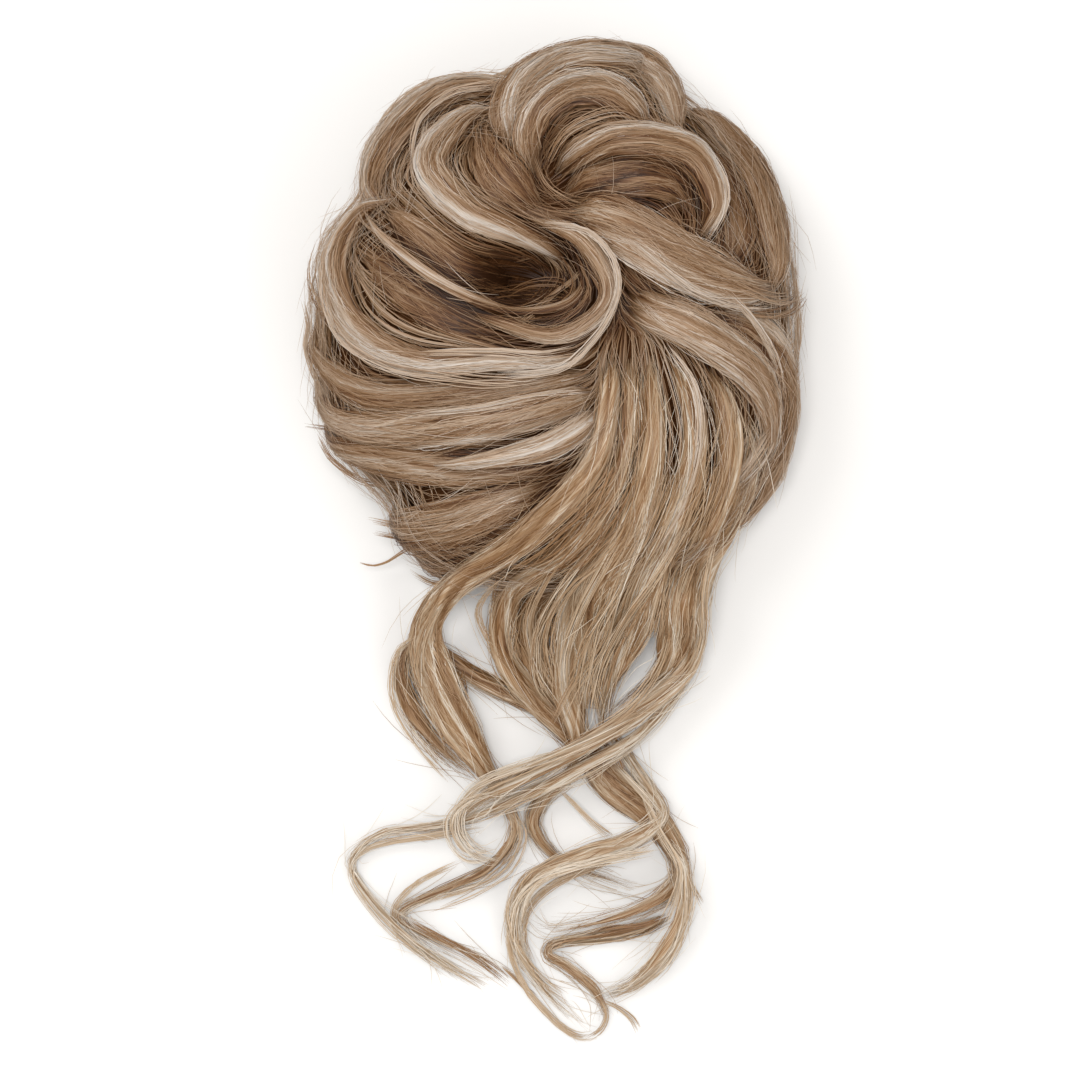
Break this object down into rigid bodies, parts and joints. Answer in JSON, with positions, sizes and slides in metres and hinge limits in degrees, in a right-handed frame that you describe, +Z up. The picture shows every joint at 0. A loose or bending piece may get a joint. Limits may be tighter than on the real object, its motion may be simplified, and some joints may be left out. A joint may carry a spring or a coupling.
{
  "type": "top knot hairpiece",
  "caption": "Messy bun hairpiece of wound blond locks on a hidden elastic band, with long loose curls trailing from one side, lying flat with the band underneath.",
  "frame": {"origin": "centre of the elastic band's opening, on the level that the piece rests on", "axes": "+Z up out of the bun, +Y towards the loop at the bun's top, -Y along the trailing curls, +X to the right seen from above"},
  "size_m": [0.142, 0.2881, 0.0596],
  "materials": {
    "hair_pale": "pale blond hair, soft satin sheen along the strands",
    "hair_honey": "honey blond hair, soft satin sheen along the strands",
    "hair_brown": "light brown hair, soft satin sheen along the strands",
    "hair_core": "shaded inner hair, matt",
    "elastic": "brown covered elastic, matt ribbed knit"
  },
  "bodies": {
    "root": {"centre_curl": "hair_pale", "centre_swirl": "hair_pale", "left_sweep_pale": "hair_pale", "right_curl": "hair_honey", "left_loop": "hair_pale", "upper_left_lock": "hair_pale", "right_sweep": "hair_pale", "right_loop": "hair_pale", "lower_right_sweep": "hair_pale", "fall_mid_curl": "hair_honey", "fall_left_curl": "hair_honey", "fall_centre_curl": "hair_honey", "fall_right_curl": "hair_pale", "far_left_curl": "hair_pale", "bottom_coil": "hair_pale", "bottom_right_curl": "hair_pale", "inner_curl": "hair_brown", "fall_outer_curl": "hair_honey", "left_sweep_middle": "hair_pale", "left_sweep_lower": "hair_honey", "left_sweep_upper": "hair_honey", "crown_loop_inner": "hair_honey", "crown_loop_outer": "hair_pale", "right_rim": "hair_honey", "right_rim_inner": "hair_brown", "upper_left_rim": "hair_pale", "upper_left_fan": "hair_brown", "right_loop_fill": "hair_brown", "petal_lock": "hair_honey", "left_loop_fill": "hair_brown", "nape_lock": "hair_honey", "nape_under_lock": "hair_brown", "right_side_lock": "hair_honey", "left_back_curl": "hair_brown", "bottom_centre_curl": "hair_pale", "side_lock_1": "hair_honey", "side_lock_2": "hair_honey", "side_lock_3": "hair_honey", "side_lock_4": "hair_honey", "side_lock_5": "hair_honey", "side_lock_6": "hair_honey", "side_lock_7": "hair_honey", "bun_core": "hair_core", "elastic_band": "elastic"}
  },
  "joints": []
}
